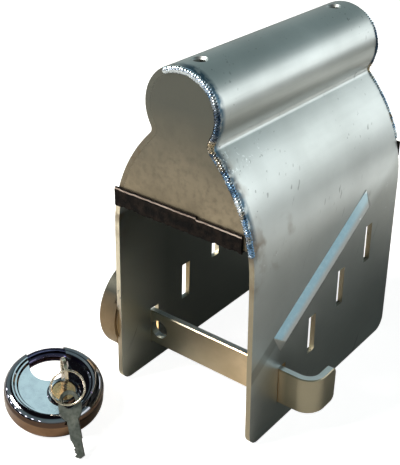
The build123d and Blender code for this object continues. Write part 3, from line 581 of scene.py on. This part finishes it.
def bakeNodes(source, tree, name, values):
    # runs the tree on the source and keeps the result as a plain mesh at the origin
    modifier = source.modifiers.new("nodes", "NODES")
    modifier.node_group = tree
    for item in tree.interface.items_tree:
        if item.in_out == "INPUT" and item.name in values:
            modifier[item.identifier] = values[item.name]
    graph = bpy.context.evaluated_depsgraph_get()
    mesh = bpy.data.meshes.new_from_object(source.evaluated_get(graph), depsgraph=graph)
    source.modifiers.remove(modifier)
    bpy.data.objects.remove(source)
    piece = bpy.data.objects.new(name, mesh)
    bpy.context.collection.objects.link(piece)
    return piece


# the weld's path: how far in from the outline at the crown, how far out over the sheet's edge below it, between
# which heights it moves out, where it ends at the front and at the rear, and how far past the crown it goes
weldPath = {"crownInset": 0.0029, "sideOutwards": 0.0015, "crownFrom": 0.258, "crownFull": 0.270,
            "frontFloor": 0.1590, "rearFloor": 0.1748, "pastCrownDegrees": 28}


def weldLine(floor, values):
    # along the corner of plate and sheet, wrapping outwards over the sheet's edge below the crown
    line = keyholeSide(values["crownInset"], floor, math.radians(values["pastCrownDegrees"]))
    moved = []
    for i, (x, z) in enumerate(line):
        before, after = line[max(i - 1, 0)], line[min(i + 1, len(line) - 1)]
        tangent = Vector((after[0] - before[0], after[1] - before[1])).normalized()
        push = (values["crownFull"] - z) / (values["crownFull"] - values["crownFrom"])
        push = values["sideOutwards"] * min(1.0, max(0.0, push))
        moved.append((x + tangent.y * push, z - tangent.x * push))
    return moved


def layBead(name, node, yAway, line, values):
    # yAway is -1 for the front plate and 1 for the rear one
    path = makePath(name + "Path", [(x, yAway * keyhole["halfDepth"], z) for x, z in line])
    bead = bakeNodes(path, rippleTree(name + "Ripples", values), name, {
        "Width": values["width"], "Proud": values["proud"], "Pitch": values["pitch"],
        "Ripple Length": values["rippleLength"], "Lean": values["lean"], "Outwards": (0, yAway, 0),
        "Seed": values["seed"], "Finish": finishes["weld"]})
    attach(bead, "housing")
    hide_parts(node)
    return bead


frontWeld = layBead("frontWeld", "front_bead", -1, weldLine(weldPath["frontFloor"], weldPath), weldBead)
rearWeld = layBead("rearWeld", "rear_bead", 1, weldLine(weldPath["rearFloor"], weldPath), weldBead)
print("welds laid:", len(frontWeld.data.polygons), len(rearWeld.data.polygons))

# rubber edge trim over the plate's lower edge: a channel cut and torn by hand, so its outer leaf's edges wander;
# the inner leaf ends short of the housing's sides
edgeTrim = {
    "leaf": 0.0022, "stations": 130, "bulge": 0.0004, "topWander": 0.0005, "rag": 0.0017, "seed": 3.7,
    # how often per metre, how strong, and which row of the noise
    "wanderWaves": [(70, 1.0, 0), (240, 0.5, 4)],
    "ragWaves": [(110, 1.0, 9), (420, 0.6, 2)],
    "step": 0.0012, "stepAt": 0.014,
    # inwards and downwards from the top corner, and inwards and upwards from the bottom one
    "lipCurve": [(0.0003, 0.0005), (0.0, 0.0014)], "topRound": 0.0007,
    "footCurve": [(0.0, 0.0012), (0.0009, 0.0)],
    "innerHalfLength": 0.0515, "innerShort": 0.0007, "innerGap": 0.0001,
    "webLow": 0.0009, "webHigh": 0.0026, "webRound": 0.0008, "webOverlap": 0.0003,
}


def sweepSections(shape, sections, highlightSide=None):
    # joins one loop of points per station into a closed strip; the side it is given gets the second finish, the
    # painted lip highlight
    rings = [[shape.verts.new(point) for point in section] for section in sections]
    for before, after in zip(rings, rings[1:]):
        for j in range(len(before)):
            k = (j + 1) % len(before)
            face = shape.faces.new((before[j], before[k], after[k], after[j]))
            face.material_index = 1 if j == highlightSide else 0
    shape.faces.new(rings[0])
    shape.faces.new(rings[-1])


def unevenness(x, seed, waves):
    return sum(strength * noise.noise((x * perMetre, seed, row)) for perMetre, strength, row in waves)


def layTrim(name, node, yAway, values):
    # yAway is -1 for the front plate and 1 for the rear one; the channel fills the box of the node it replaces
    corners = [nodes[node].matrix_world @ Vector(corner) for corner in nodes[node].bound_box]
    low, high = [[end(corner[i] for corner in corners) for i in range(3)] for end in (min, max)]
    middle = (low[1] + high[1]) / 2
    half = (high[1] - low[1]) / 2
    bottom, top, leaf = low[2], high[2], values["leaf"]
    outerLeaf, innerLeaf = [], []
    for i in range(values["stations"] + 1):
        x = low[0] + (high[0] - low[0]) * i / values["stations"]
        wander = unevenness(x, values["seed"], values["wanderWaves"])
        rag = max(0.0, unevenness(x, values["seed"], values["ragWaves"]))
        cutTop = top - values["topWander"] * (1 + wander) - (values["step"] if x > values["stepAt"] else 0.0)
        cutBottom = bottom + values["rag"] * rag
        face = half - values["bulge"] * (1 - wander)
        section = [(face - inwards, cutTop - down) for inwards, down in values["lipCurve"]]
        section += [(face - inwards, cutBottom + up) for inwards, up in values["footCurve"]]
        section += [(half - leaf, cutBottom), (half - leaf, cutTop), (face - values["topRound"], cutTop)]
        outerLeaf.append([(x, middle + yAway * y, z) for y, z in section])
    webLow, webHigh, corner = bottom + values["webLow"], bottom + values["webHigh"], values["webRound"]
    webEnd, innerTop = half - leaf + values["webOverlap"], top - values["innerShort"]
    back = half - values["innerGap"]
    section = [(webEnd, webLow), (corner - back, webLow), (-back, webLow + corner), (-back, innerTop),
               (leaf - back, innerTop), (leaf - back, webHigh), (webEnd, webHigh)]
    for x in (max(low[0], -values["innerHalfLength"]), min(high[0], values["innerHalfLength"])):
        innerLeaf.append([(x, middle + yAway * y, z) for y, z in section])
    shape = bmesh.new()
    sweepSections(shape, outerLeaf, 0)
    sweepSections(shape, innerLeaf)
    bmesh.ops.recalc_face_normals(shape, faces=shape.faces)
    mesh = bpy.data.meshes.new(name)
    shape.to_mesh(mesh)
    shape.free()
    mesh.materials.append(finishes["rubber"])
    mesh.materials.append(finishes["lipHighlight"])
    trim = bpy.data.objects.new(name, mesh)
    bpy.context.collection.objects.link(trim)
    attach(trim, "housing")
    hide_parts(node)
    return trim


frontTrim = layTrim("frontTrim", "front_trim", -1, edgeTrim)
rearTrim = layTrim("rearTrim", "rear_trim", 1, edgeTrim)
print("trims laid:", len(frontTrim.data.polygons), len(rearTrim.data.polygons))
